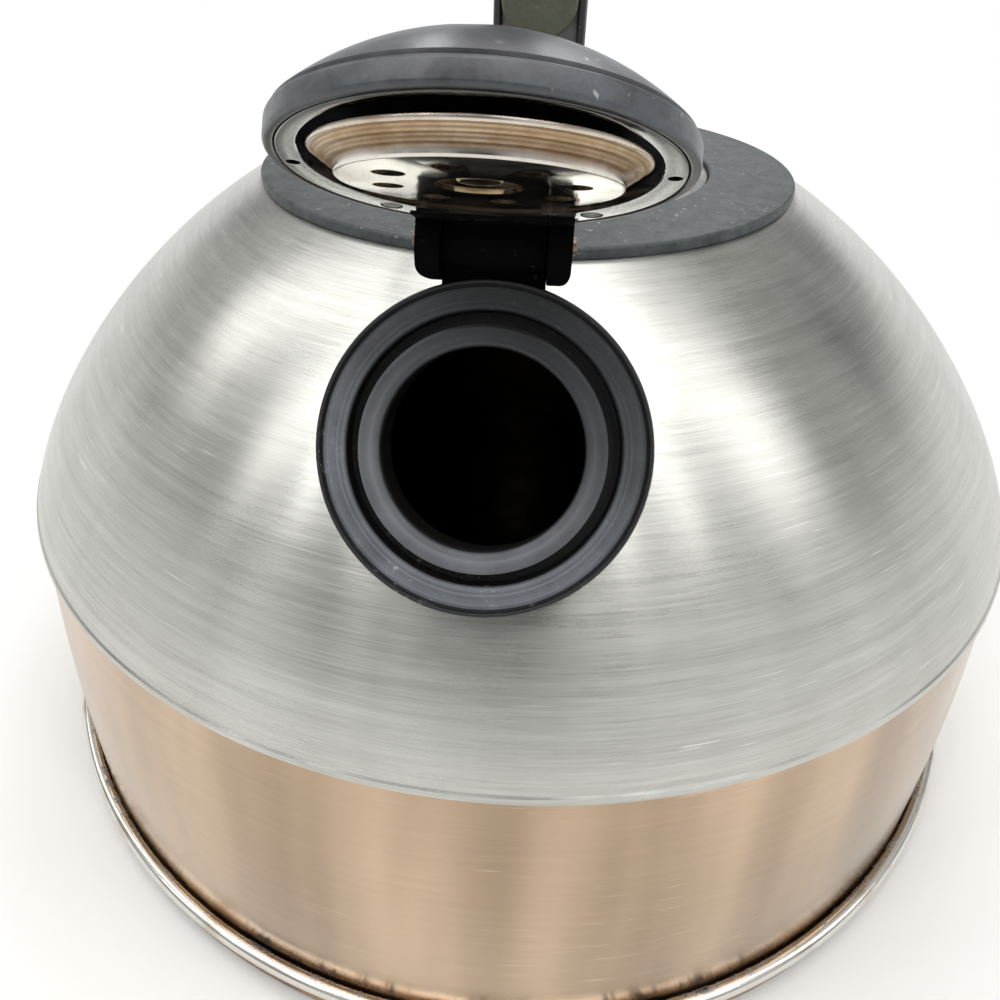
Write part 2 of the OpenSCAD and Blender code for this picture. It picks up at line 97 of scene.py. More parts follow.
def roundedProfile(corners, steps=6):
    # a closed outline of (x, y, fillet): each corner becomes an arc that touches both its edges
    points = np.array([c[:2] for c in corners], float)
    outline = []
    for k, (x, y, fillet) in enumerate(corners):
        here = points[k]
        before = points[k - 1] - here
        after = points[(k + 1) % len(points)] - here
        lenB, lenA = np.linalg.norm(before), np.linalg.norm(after)
        before, after = before / lenB, after / lenA
        half = math.acos(np.clip(before @ after, -1, 1)) / 2
        if fillet <= 0 or half > math.pi / 2 - 1e-3:
            outline.append(here)
            continue
        reach = min(fillet / math.tan(half), 0.45 * lenB, 0.45 * lenA)
        radius = reach * math.tan(half)
        middle = here + (before + after) / np.linalg.norm(before + after) * radius / math.sin(half)
        start, end = here + before * reach - middle, here + after * reach - middle
        turn = math.atan2(start[0] * end[1] - start[1] * end[0], start @ end)
        angles = np.linspace(0, turn, steps + 1)
        arc = np.stack([
            start[0] * np.cos(angles) - start[1] * np.sin(angles),
            start[0] * np.sin(angles) + start[1] * np.cos(angles),
        ], 1) + middle
        outline.extend(arc)
    return np.array(outline)


def domeArc(r, rise, low, count):
    # a round dome's profile from its rim at (r, low) up to the axis: an arc whose radius is
    # (r^2 + rise^2) / (2 rise)
    big = (r * r + rise * rise) / (2 * rise)
    a = np.linspace(math.asin(r / big), 0, count)
    return np.stack([big * np.sin(a), low + rise - big * (1 - np.cos(a))], 1)


def revolve(profile, count=192):
    # each (r, z) of the profile goes round the Z axis: x = r sin(t), y = -r cos(t)
    t = np.linspace(0, 2 * math.pi, count, endpoint=False)
    r, z = profile[:, 0, None], profile[:, 1, None]
    return np.stack([r * np.sin(t), -r * np.cos(t), z + 0 * t], -1)


def turnAboutX(points, degrees):
    # y' = y cos - z sin, z' = y sin + z cos
    c, s = math.cos(math.radians(degrees)), math.sin(math.radians(degrees))
    x, y, z = points[..., 0], points[..., 1], points[..., 2]
    return np.stack([x, y * c - z * s, y * s + z * c], -1)


def atSpout(points):
    # local X across, Y up along the mouth, Z out of the mouth
    return turnAboutX(points, spoutTurn) + [0, -spout["out"], spout["up"]]


def atCap(points):
    # the closed cap's place, turned open about the hinge pin
    pin = np.array([0, hinge["u"], hinge["n"]])
    return atSpout(turnAboutX(points - pin, -hinge["open"]) + pin)


def atShell(points):
    # the cap shell's own axis, tipped from the whistle's
    return atCap(turnAboutX(points, -cap["wedge"]) + [0, cap["shift"], cap["n"]])


def addPiece(name, mesh, bodyName, slotName, materials, *nodes):
    # the mesh rides its body in place of the named nodes; materials is one material, or one
    # for each of the mesh's material numbers
    piece = bpy.data.objects.new(name, mesh)
    scene.collection.objects.link(piece)
    for material in materials if isinstance(materials, tuple) else (materials,):
        mesh.materials.append(material)
    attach(piece, bodyName)
    if nodes:
        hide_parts(*nodes)


def joinMeshes(name, meshes, numbers=None):
    # several closed shells kept as one mesh, each with its own material number
    work = bmesh.new()
    for i, mesh in enumerate(meshes):
        if numbers:
            mesh.polygons.foreach_set("material_index", [numbers[i]] * len(mesh.polygons))
        work.from_mesh(mesh)
    joined = bpy.data.meshes.new(name)
    work.to_mesh(joined)
    work.free()
    return smoothShading(joined)


def cutMesh(mesh, cutter, operation="DIFFERENCE"):
    # cutter's space is taken out of mesh, and the result is a plain mesh again
    target = bpy.data.objects.new("target", mesh)
    tool = bpy.data.objects.new("tool", cutter)
    scene.collection.objects.link(target)
    scene.collection.objects.link(tool)
    change = target.modifiers.new("cut", "BOOLEAN")
    change.object = tool
    change.operation = operation
    change.solver = "EXACT"
    evaluated = target.evaluated_get(bpy.context.evaluated_depsgraph_get())
    result = bpy.data.meshes.new_from_object(evaluated)
    bpy.data.objects.remove(target)
    bpy.data.objects.remove(tool)
    return smoothShading(result)


def prismMesh(name, outline, low, high, bevel, place):
    # a closed outline in local X and Y, drawn from low to high along local Z, with its edges
    # over 40 degrees beveled; place then moves the points
    flat = np.concatenate([outline, np.zeros((len(outline), 1))], 1)
    mesh = gridMesh(name, np.stack([flat + [0, 0, low], flat + [0, 0, high]]), ends=True)
    if bevel:
        work = bmesh.new()
        work.from_mesh(mesh)
        sharp = [e for e in work.edges if e.calc_face_angle(0) > math.radians(40)]
        bmesh.ops.bevel(
            work, geom=sharp, offset=bevel * mm, segments=3, profile=0.5, affect="EDGES",
            clamp_overlap=True,
        )
        work.to_mesh(mesh)
        work.free()
    verts = np.empty(len(mesh.vertices) * 3)
    mesh.vertices.foreach_get("co", verts)
    moved = place(verts.reshape(-1, 3) / mm) * mm
    mesh.vertices.foreach_set("co", moved.ravel())
    work = bmesh.new()
    work.from_mesh(mesh)
    bmesh.ops.recalc_face_normals(work, faces=work.faces)
    work.to_mesh(mesh)
    work.free()
    return smoothShading(mesh)


def circleOutline(r, count=64, x=0.0, y=0.0):
    # points at (x + r cos(t), y + r sin(t))
    t = np.linspace(0, 2 * math.pi, count, endpoint=False)
    return np.stack([x + r * np.cos(t), y + r * np.sin(t)], 1)


def boxOutline(x0, x1, y0, y1, fillet=0.0):
    # a rectangle with its corners rounded to fillet
    return roundedProfile([(x0, y0, fillet), (x1, y0, fillet), (x1, y1, fillet), (x0, y1, fillet)])


def hingeRod(r, start, end, bevel, place, count=48):
    # a round bar along X from start to end, about the hinge pin's line
    def lay(points):
        return place((points + [hinge["u"], hinge["n"], 0])[:, [2, 0, 1]])

    return prismMesh("rod", circleOutline(r, count), start, end, bevel, lay)


# Materials

def linearColour(code):
    # sRGB to linear light: a straight line near black, and a power of 2.4 above it
    channels = [int(code[i:i + 2], 16) / 255 for i in (1, 3, 5)]
    return [c / 12.92 if c <= 0.04045 else ((c + 0.055) / 1.055) ** 2.4 for c in channels] + [1]


def addNode(tree, kind, inputs=None, **fields):
    # inputs are values or sockets by name or number; fields are the node's own settings
    node = tree.nodes.new("ShaderNode" + kind)
    for key, value in fields.items():
        setattr(node, key, value)
    for key, value in (inputs or {}).items():
        if isinstance(value, bpy.types.NodeSocket):
            tree.links.new(value, node.inputs[key])
        else:
            node.inputs[key].default_value = value
    return node


def newMaterial(name, colour, metallic, roughness):
    # a Principled material, its node tree and its shader
    material = bpy.data.materials.new(name)
    material.use_nodes = True
    tree = material.node_tree
    shader = tree.nodes["Principled BSDF"]
    shader.inputs["Base Color"].default_value = linearColour(colour)
    shader.inputs["Metallic"].default_value = metallic
    shader.inputs["Roughness"].default_value = roughness
    return material, tree, shader


def calculate(tree, operation, *values):
    # one Math node; MULTIPLY_ADD is first * second + third
    return addNode(tree, "Math", dict(enumerate(values)), operation=operation).outputs[0]


def spread(tree, value, low, high, toLow=0.0, toHigh=1.0):
    # value between low and high becomes toLow to toHigh, held at the ends
    inputs = {0: value, 1: low, 2: high, 3: toLow, 4: toHigh}
    return addNode(tree, "MapRange", inputs).outputs[0]


def blendColour(tree, factor, first, second):
    # first at factor 0 and second at factor 1, each a socket or an sRGB code
    first, second = (linearColour(c) if isinstance(c, str) else c for c in (first, second))
    inputs = {0: factor, 6: first, 7: second}
    return addNode(tree, "Mix", inputs, data_type="RGBA").outputs[2]


def noiseValue(tree, vector, scale, detail=2.0, roughness=0.5):
    # noise about 0.5, with scale as its cells per unit of vector
    inputs = {"Vector": vector, "Scale": scale, "Detail": detail, "Roughness": roughness}
    return addNode(tree, "TexNoise", inputs).outputs[0]


def objectPoint(tree):
    # the point in metres in the object's own coordinates; in the world it is the direction
    return addNode(tree, "TexCoord").outputs["Object"]


def setBump(tree, shader, height, strength, distance):
    # the normal tips as if height 1 stood distance metres above height 0
    bump = addNode(tree, "Bump", {"Strength": strength, "Distance": distance, "Height": height})
    tree.links.new(bump.outputs[0], shader.inputs["Normal"])


def setRoughness(tree, shader, clouds, middle, swing):
    # roughness = middle - swing / 2 + swing * cloud
    cloud = spread(tree, clouds, 0.3, 0.7)
    value = calculate(tree, "MULTIPLY_ADD", cloud, swing, middle - swing / 2)
    tree.links.new(value, shader.inputs["Roughness"])


def axisDistance(tree, point):
    # distance from the local Z axis, the direction away from it, and the local height
    x, y, z = addNode(tree, "SeparateXYZ", {0: point}).outputs
    flat = addNode(tree, "CombineXYZ", {0: x, 1: y, 2: 0.0}).outputs[0]
    radius = addNode(tree, "VectorMath", {0: flat}, operation="LENGTH").outputs["Value"]
    away = addNode(tree, "VectorMath", {0: flat}, operation="NORMALIZE").outputs[0]
    return radius, away, z


def turnedCoordinates(tree, centreZ, aroundMm, acrossMm):
    # a point on a turned surface as (direction from the axis, way up the surface), so that one
    # unit of noise is aroundMm long round the axis and acrossMm wide up the surface; the way up
    # is meanR * atan2(height over centreZ, radius)
    meanR = 95
    radius, direction, z = axisDistance(tree, objectPoint(tree))
    height = calculate(tree, "SUBTRACT", z, centreZ * mm)
    lift = calculate(tree, "ARCTAN2", height, radius)
    up = calculate(tree, "MULTIPLY", lift, meanR / acrossMm)
    around = addNode(
        tree, "VectorMath", {0: direction, "Scale": meanR / aroundMm}, operation="SCALE"
    ).outputs[0]
    offset = addNode(tree, "CombineXYZ", {0: 0.0, 1: 0.0, 2: up}).outputs[0]
    return addNode(tree, "VectorMath", {0: around, 1: offset}, operation="ADD").outputs[0]


def turnedLocal(tree, place, degrees):
    # the point in a turned frame: place gives the frame's origin, degrees its turn about X
    return addNode(
        tree, "Mapping",
        {"Vector": objectPoint(tree), "Location": (place(np.zeros(3)) * mm).tolist(),
         "Rotation": [math.radians(degrees), 0, 0]},
        vector_type="TEXTURE",
    ).outputs[0]


def brushedSteel(name, look):
    # stainless sheet, brushed while it spins: the fine lines stretch highlights up the surface;
    # they are 0.2 mm wide, coarser than the real ones, so that they show
    material, tree, shader = newMaterial(name, look["colour"], 1.0, look["roughness"])
    shader.inputs["Anisotropic"].default_value = look["anisotropic"]
    shader.inputs["Anisotropic Rotation"].default_value = 0.25
    centre = look["centreZ"]
    lines = noiseValue(tree, turnedCoordinates(tree, centre, 12, 0.2), 1.0, 3.0, 0.65)
    bands = noiseValue(tree, turnedCoordinates(tree, centre, 50, 1.5), 1.0, 3.0, 0.6)
    smears = noiseValue(tree, turnedCoordinates(tree, centre, look["smearMm"], 120), 1.0, 2.0)
    # the scratches' lower centre keeps them from following the lines
    marks = noiseValue(tree, turnedCoordinates(tree, centre - 22, 11, 0.22), 1.0, 1.0)
    clouds = noiseValue(tree, objectPoint(tree), 26.0, 4.0, 0.6)
    # the tone is the layers' sum, each between minus and plus its own weight
    lineTone, bandTone, smearTone = (
        spread(tree, layer, 0.3, 0.7, -look[weight], look[weight])
        for layer, weight in ((lines, "lines"), (bands, "bands"), (smears, "smear"))
    )
    tone = calculate(tree, "ADD", calculate(tree, "ADD", lineTone, bandTone), smearTone)
    tone = spread(tree, tone, -1.0, 1.0)
    steel = blendColour(tree, tone, look["dark"], look["colour"])
    scratch = calculate(
        tree, "MULTIPLY", spread(tree, marks, 0.7, 0.76), spread(tree, clouds, 0.5, 0.62)
    )
    scratched = blendColour(tree, scratch, steel, look["light"])
    tree.links.new(scratched, shader.inputs["Base Color"])
    worn = calculate(
        tree, "MULTIPLY_ADD", spread(tree, clouds, 0.35, 0.65), 0.06, look["roughness"] - 0.05
    )
    worn = calculate(tree, "MULTIPLY_ADD", tone, 0.05, worn)
    tree.links.new(worn, shader.inputs["Roughness"])
    setBump(tree, shader, calculate(tree, "ADD", lines, scratch), look["bump"], 0.00002)
    return material


def moulded(name, look):
    # moulded black plastic: satin skin with fine grain, faint cloudy wear and pale dust; with
    # inside, painted shade darkens the inner side of the cap shell's band
    material, tree, shader = newMaterial(name, look["colour"], 0.0, look["roughness"])
    shader.inputs["Specular IOR Level"].default_value = look["specular"]
    point = objectPoint(tree)
    grain = noiseValue(tree, point, 1800.0, 2.0)
    clouds = noiseValue(tree, point, 70.0, 5.0, 0.65)
    dust = noiseValue(tree, point, 900.0, 1.0)
    mottle = noiseValue(tree, point, 420.0, 4.0, 0.7)
    worn = calculate(
        tree, "MULTIPLY_ADD", spread(tree, mottle, 0.35, 0.7), 0.55,
        spread(tree, clouds, 0.35, 0.75, 0.0, 0.45),
    )
    skin = blendColour(tree, worn, look["colour"], look["worn"])
    specks = calculate(
        tree, "MULTIPLY", spread(tree, dust, 0.7, 0.77), spread(tree, clouds, 0.45, 0.6)
    )
    specks = calculate(tree, "MULTIPLY", specks, look["dust"])
    surfaceColour = blendColour(tree, specks, skin, "#a3a39e")
    if "inside" in look:
        # painted shade: the inner side of the shell's band is darkened to the inside colour
        radius, _, height = axisDistance(tree, turnedLocal(tree, atShell, shellTurn))
        paintedShadeInside = spread(tree, radius, (cap["r"] - 0.35) * mm, (cap["r"] - 0.55) * mm)
        low = spread(tree, height, (cap["band"] + 0.6) * mm, (cap["band"] + 0.2) * mm)
        paintedShadeInside = calculate(tree, "MULTIPLY", paintedShadeInside, low)
        surfaceColour = blendColour(tree, paintedShadeInside, surfaceColour, look["inside"])
    tree.links.new(surfaceColour, shader.inputs["Base Color"])
    setRoughness(tree, shader, clouds, look["roughness"], 0.12)
    setBump(tree, shader, grain, look["bump"], 0.00005)
    return material


def mouldedRing(name, look):
    # black rubbery ring with fine moulding lines round the spout's axis; its face has a chalky
    # bloom inside the lip that is partly painted sheen, painted paler toward the lower left and
    # darker toward the top, with dust at the lower left
    material, tree, shader = newMaterial(name, look["colour"], 0.0, look["roughness"])
    point = objectPoint(tree)
    radius, away, height = axisDistance(tree, turnedLocal(tree, atSpout, spoutTurn))
    rings = addNode(
        tree, "TexNoise",
        {"W": calculate(tree, "DIVIDE", radius, look["ringMm"] * mm), "Scale": 1.0, "Detail": 2.0},
        noise_dimensions="1D",
    ).outputs[0]
    clouds = noiseValue(tree, point, 110.0, 5.0, 0.65)
    dust = noiseValue(tree, point, 1500.0, 2.0)
    # low grows toward the lower left: it weights the dust there, and the painted sheen and shade
    # below
    low = addNode(
        tree, "VectorMath", {0: away, 1: [-0.45, -0.9, 0]}, operation="DOT_PRODUCT"
    ).outputs["Value"]
    dust = spread(tree, dust, look["dustFrom"], look["dustFrom"] + 0.08)
    dust = calculate(tree, "MULTIPLY", dust, spread(tree, clouds, 0.45, 0.62))
    dust = calculate(tree, "MULTIPLY", dust, spread(tree, low, 0.2, 0.95, 0.1, 1.0))
    skin = blendColour(tree, spread(tree, clouds, 0.3, 0.7), look["bloomAndSheen"], look["worn"])
    skin = blendColour(tree, spread(tree, rings, 0.4, 0.75, 0.0, 0.5), skin, look["line"])
    # painted light: toward the top the face keeps the plain dark colour as painted shade, and
    # toward the lower left it shows the pale bloom as painted sheen
    skin = blendColour(tree, spread(tree, low, -1.2, 0.6), look["colour"], skin)
    face = calculate(
        tree, "MULTIPLY",
        spread(tree, radius, look["faceTo"] * mm, (look["faceTo"] - 0.25) * mm),
        spread(tree, height, look["faceFrom"] * mm, (look["faceFrom"] + 0.3) * mm),
    )
    skin = blendColour(tree, face, look["colour"], skin)
    surfaceColour = blendColour(tree, dust, skin, "#b0b0ac")
    tree.links.new(surfaceColour, shader.inputs["Base Color"])
    setRoughness(tree, shader, clouds, look["roughness"], 0.14)
    setBump(tree, shader, rings, look["bump"], 0.00012)
    return material


def glossInner():
    # the cap's flat inner ring: black plastic moulded against a polished tool, with wiped streaks
    material, tree, shader = newMaterial("glossBlackInnerRing", "#0b0b0c", 0.0, 0.1)
    shader.inputs["IOR"].default_value = 1.6
    shader.inputs["Coat Weight"].default_value = 1.0
    shader.inputs["Coat Roughness"].default_value = 0.04
    streaks = addNode(
        tree, "Mapping",
        {"Vector": turnedLocal(tree, atShell, shellTurn), "Rotation": [0, 0, 0.5],
         "Scale": [60, 700, 60]},
    ).outputs[0]
    wipe = noiseValue(tree, streaks, 1.0, 3.0, 0.6)
    film = spread(tree, wipe, 0.45, 0.75)
    tree.links.new(blendColour(tree, film, "#0b0b0c", "#4c4945"), shader.inputs["Base Color"])
    tree.links.new(calculate(tree, "MULTIPLY_ADD", film, 0.22, 0.08), shader.inputs["Roughness"])
    setBump(tree, shader, wipe, 0.06, 0.00005)
    return material


def whistlePaintedReflection():
    # pressed whistle steel: the end plate stays bright; the steps round it are painted brown as a
    # painted reflection of brown surroundings, and the outer rim keeps a painted highlight
    material, tree, shader = newMaterial("whistleSteelPaintedReflection", "#ded9d0", 1.0, 0.22)
    radius, _, height = axisDistance(tree, turnedLocal(tree, atCap, capTurn))
    point = objectPoint(tree)
    clouds = noiseValue(tree, point, 160.0, 5.0, 0.65)
    low, high = whistle["n"] + 0.25, whistle["n"] + 0.9
    # painted reflection: brown on the steps above the end plate
    stainAndReflection = spread(tree, height, low * mm, high * mm)
    # painted highlight: the outer rim keeps less of the brown
    rimR = whistle["r"] + 1.9
    rimHighlight = spread(tree, radius, rimR * mm, (rimR + 0.3) * mm, 1.0, 0.35)
    stainAndReflection = calculate(tree, "MULTIPLY", stainAndReflection, rimHighlight)
    stainAndReflection = calculate(tree, "MULTIPLY", stainAndReflection, spread(tree, clouds, 0.25, 0.6, 0.75, 1.0))
    outward = spread(tree, radius, (whistle["r"] - 0.1) * mm, rimR * mm)
    outward = calculate(tree, "MULTIPLY_ADD", spread(tree, clouds, 0.35, 0.65), -0.35, outward)
    brown = blendColour(tree, spread(tree, outward, 0.0, 0.8), "#7d6246", "#bda27e")
    tarnish = spread(tree, clouds, 0.4, 0.75)
    bright = blendColour(tree, tarnish, "#e3ded6", "#b9aa97")
    tree.links.new(blendColour(tree, stainAndReflection, bright, brown), shader.inputs["Base Color"])
    tree.links.new(
        calculate(tree, "MULTIPLY_ADD", stainAndReflection, 0.42, spread(tree, clouds, 0.3, 0.7, 0.1, 0.18)),
        shader.inputs["Roughness"],
    )
    setBump(tree, shader, noiseValue(tree, point, 1500.0, 2.0), 0.1, 0.00004)
    return material


steelLook = dict(
    colour="#d6d6d0", dark="#a9a9a2", light="#ecebe7", roughness=0.27, anisotropic=0.85,
    centreZ=45.0, smearMm=14, smear=0.3, lines=0.45, bands=0.35, bump=0.14,
)
# painted reflection: the band's warm tan is partly heat tint and partly the reflected tan
# surroundings, and its strong smears up the surface partly paint reflected dark streaks
bandLook = dict(
    colour="#cfb59a", dark="#a08a74", light="#decfbd", roughness=0.2, anisotropic=0.3,
    centreZ=36.0, smearMm=16, smear=1.0, lines=0.12, bands=0.12, bump=0.025,
)
domeSteel = brushedSteel("brushedStainlessDome", steelLook)
bandSteel = brushedSteel("bandSteelHeatTintAndPaintedReflection", bandLook)
lidSteel = brushedSteel("brushedStainlessLid", dict(steelLook, centreZ=80.0))
blackCollar = moulded(
    "mouldedBlackCollar",
    dict(colour="#303434", worn="#5b6163", roughness=0.5, specular=0.3, bump=0.3, dust=1.0),
)
# inside is the near-black colour of the painted shade on the inner side of the shell's band
blackCap = moulded(
    "mouldedBlackCap",
    dict(colour="#2a2c2f", worn="#565b61", inside="#0b0b0c", roughness=0.34, specular=0.6,
         bump=0.3, dust=0.8),
)
blackHandle = moulded(
    "mouldedBlackHandle",
    dict(colour="#19191a", worn="#262727", roughness=0.5, specular=0.4, bump=0.3, dust=0.3),
)
# black hinge plastic taken to near pure black with almost no specular: painted shade for the hinge
# block that sits in the open cap's shadow
shadedBlackHinge = moulded(
    "blackHingePaintedShade",
    dict(colour="#030303", worn="#050505", roughness=0.75, specular=0.05, bump=0.2, dust=0.05),
)
softGrip = moulded(
    "softTouchOliveGrip",
    dict(colour="#55584a", worn="#6d7061", roughness=0.62, specular=0.4, bump=0.5, dust=0.3),
)
blackRing = mouldedRing(
    "blackRingBloomAndPaintedSheen",
    dict(colour="#1d1e20", bloomAndSheen="#4b4f54", worn="#6f7379", line="#989da3", roughness=0.42,
         ringMm=0.6, bump=0.35, dustFrom=0.62, faceTo=spout["ringR"] - 0.85, faceFrom=-1.5),
)
darkSeal = mouldedRing(
    "siliconeSealBloomAndPaintedSheen",
    dict(colour="#1f2022", bloomAndSheen="#4e5155", worn="#6b6e73", line="#85898e", roughness=0.5,
         ringMm=0.9, bump=0.12, dustFrom=0.72, faceTo=spout["tubeR"] + 1, faceFrom=-0.4),
)
glossRing = glossInner()


def beadSteel():
    # polished rolled bead, with black cooking grime caught in the crevice over it
    outR, inR, lowZ, highZ = 109.0, 107.9, 7.4, 8.2
    material, tree, shader = newMaterial("polishedRolledBead", "#dedbd4", 1.0, 0.16)
    point = objectPoint(tree)
    radius, _, height = axisDistance(tree, point)
    specks = noiseValue(tree, point, 300.0, 4.0, 0.7)
    grime = calculate(
        tree, "MULTIPLY", spread(tree, radius, outR * mm, inR * mm),
        spread(tree, height, lowZ * mm, highZ * mm),
    )
    grime = calculate(tree, "MULTIPLY", grime, spread(tree, specks, 0.52, 0.62))
    stainAndReflection = spread(tree, noiseValue(tree, point, 120.0, 4.0), 0.5, 0.7, 0.0, 0.5)
    steel = blendColour(tree, stainAndReflection, "#dedbd4", "#a8926f")
    grimy = blendColour(tree, grime, steel, "#15120f")
    tree.links.new(grimy, shader.inputs["Base Color"])
    tree.links.new(calculate(tree, "MULTIPLY_ADD", grime, 0.6, 0.17), shader.inputs["Roughness"])
    tree.links.new(calculate(tree, "SUBTRACT", 1.0, grime), shader.inputs["Metallic"])
    return material


def stainedBase():
    # heat-stained base metal: golden brown, darker and duller toward the flame side
    material, tree, shader = newMaterial("heatStainedBase", "#b08a5c", 1.0, 0.34)
    point = objectPoint(tree)
    clouds = noiseValue(tree, point, 60.0, 5.0, 0.65)
    spots = noiseValue(tree, point, 500.0, 2.0)
    height = axisDistance(tree, point)[2]
    low = spread(tree, height, 0.5 * mm, 4.5 * mm, 1.0, 0.0)
    warm = blendColour(tree, spread(tree, clouds, 0.3, 0.7), "#c49a63", "#8a6238")
    burnt = calculate(tree, "MULTIPLY", low, spread(tree, clouds, 0.3, 0.6, 0.3, 0.9))
    brown = blendColour(tree, burnt, warm, "#3a2a1c")
    spotted = blendColour(tree, spread(tree, spots, 0.68, 0.75), brown, "#1c1611")
    tree.links.new(spotted, shader.inputs["Base Color"])
    tree.links.new(calculate(tree, "MULTIPLY_ADD", burnt, 0.25, 0.28), shader.inputs["Roughness"])
    setBump(tree, shader, clouds, 0.3, 0.0002)
    return material


def cloudyFinish(name, colour, shade, roughness, grainScale, metallic=1.0):
    # pressed metal or moulded silicone with faint grain and cloudy tarnish
    material, tree, shader = newMaterial(name, colour, metallic, roughness)
    point = objectPoint(tree)
    clouds = noiseValue(tree, point, grainScale, 4.0, 0.6)
    fine = noiseValue(tree, point, grainScale * 9, 2.0)
    cloudy = blendColour(tree, spread(tree, clouds, 0.35, 0.7), colour, shade)
    tree.links.new(cloudy, shader.inputs["Base Color"])
    setRoughness(tree, shader, clouds, roughness, 0.12)
    setBump(tree, shader, fine, 0.12, 0.00005)
    return material


bead = beadSteel()
baseBrown = stainedBase()
whistleReflectionSteel = whistlePaintedReflection()
innerSteel = cloudyFinish("millFinishSteel", "#8e8e8c", "#6f6e6b", 0.42, 90.0)
pinSteel = cloudyFinish("dullPinSteel", "#8a7468", "#5a4a42", 0.4, 400.0)
screwSteel = cloudyFinish("dullScrewSteel", "#6d6c6b", "#3d3c3b", 0.42, 400.0)
rivetMetal = cloudyFinish("wornRivetMetal", "#dac9a4", "#a48f66", 0.2, 400.0)
sealWhite = cloudyFinish("milkySiliconeGasket", "#c9c6bb", "#b3ae9f", 0.5, 120.0, metallic=0.0)
print("materials made")


# Body

body = dict(
    seamR=104.8, seamZ=64.5, seamStep=0.6, wall=1.0, domePower=2.1, crownPower=1.3, hemH=1.3,
    bandR=107.0, bandBottom=6.6, bandSwell=0.8,
    collarR=52.7, collarZ=122.8, landZ=120.8, throatR=38.0, throatZ=114.8,
)


def domePoints(r, h, last, count):
    # a superellipse of two powers: r cos(a)^(2/p) out and h sin(a)^(2/q) up from the seam
    a = np.linspace(0, last, count)
    out = r * np.cos(a) ** (2 / body["domePower"])
    return np.stack([out, body["seamZ"] + h * np.sin(a) ** (2 / body["crownPower"])], 1)


def makeDome():
    # outer curve, flat land, turned-down throat lip and inner curve, spun as one closed sheet
    last = math.acos((body["collarR"] / body["seamR"]) ** (body["domePower"] / 2))
    h = (body["landZ"] - body["seamZ"]) / math.sin(last) ** (2 / body["crownPower"])
    outer = domePoints(body["seamR"], h, last, 110)
    outer = outer[outer[:, 1] > body["seamZ"] + body["hemH"]]
    inner = domePoints(body["seamR"] - body["wall"], h - body["wall"], last, 60)[::-1]
    lip = roundedProfile([
        (body["collarR"], body["landZ"], 0), (body["throatR"], body["landZ"], 0.8),
        (body["throatR"], body["throatZ"], 0.3), (body["throatR"] + 1, body["throatZ"], 0.3),
        (body["throatR"] + 1, body["landZ"] - 1, 0), (body["collarR"], body["landZ"] - 1, 0),
    ])[1:-1]
    # the hem's bright ridge along the seam
    hem = np.array([
        [-0.95, 0.05], [-0.5, 0.0], [-0.15, -0.05], [0.1, 0.0],
        [0.22, 0.2], [0.2, 0.5], [0.08, 0.8], [0.0, 1.1],
    ]) + [body["seamR"], body["seamZ"]]
    profile = np.concatenate([hem, outer, lip, inner[:-1]])
    sheet = gridMesh("domeSheet", revolve(profile, 256))
    hole = prismMesh("hole", circleOutline(spout["tubeR"] + 0.1, 96), -30, 6, 0, atSpout)
    mesh = cutMesh(sheet, hole)
    addPiece("domeSheet", mesh, "kettle", "dome_steel", domeSteel, "dome_shell")


def makeBand():
    # a tapered band with a slight swell: straight taper plus swell times sin(180 t)
    t = np.linspace(0, 1, 40)
    top = body["seamZ"] - 0.1
    r = body["bandR"] + (body["seamR"] - body["seamStep"] - body["bandR"]) * t
    r = r + body["bandSwell"] * np.sin(math.pi * t)
    z = body["bandBottom"] + (top - body["bandBottom"]) * t
    outer = np.stack([r, z], 1)
    profile = np.concatenate([outer, (outer - [body["wall"], 0])[::-1]])
    mesh = gridMesh("bandSheet", revolve(profile, 256))
    addPiece("bandSheet", mesh, "kettle", "band_steel", bandSteel, "band_shell")


def makeBase():
    # the bead's curl with the web that joins it to the band, and the disc under the floor
    beadR, beadZ, wire, webR, webZ = 110.0, 7.0, 1.4, 107.12, 5.62
    discR, discH = 109.0, 5.5
    t = np.linspace(-math.pi / 2, math.pi * 0.86, 28)
    curl = np.stack([beadR - wire + wire * np.cos(t), beadZ + wire * np.sin(t)], 1)
    web = np.array([[webR, beadZ + 0.1], [webR, webZ]])
    mesh = gridMesh("rolledBead", revolve(np.concatenate([curl, web]), 256))
    addPiece("rolledBead", mesh, "kettle", "bead_steel", bead, "base_bead")
    disc = roundedProfile([(0, 0, 0), (discR, 0, 2.5), (discR, discH, 0.4), (0, discH, 0)], 10)
    mesh = gridMesh("baseDisc", revolve(disc, 256))
    addPiece("baseDisc", mesh, "kettle", "base_metal", baseBrown, "base_disc")


def makeCollar():
    # a flat flange over the land, a sleeve down the throat and a seat for the lid inside it
    low, high, foot = body["landZ"], body["collarZ"], body["throatZ"]
    sleeve, seatR, seatZ = body["throatR"] - 0.1, 33.7, 118.0
    profile = roundedProfile([
        (seatR, foot, 0.3), (sleeve, foot, 0.3), (sleeve, low, 0),
        (body["collarR"], low, 0.45), (body["collarR"], high, 0.6),
        (sleeve - 1.2, high, 0.5), (sleeve - 1.2, seatZ, 0), (seatR, seatZ, 0.3),
    ], 7)
    mesh = gridMesh("collar", revolve(profile, 224))
    addPiece("collar", mesh, "kettle", "collar_plastic", blackCollar, "collar_ring")


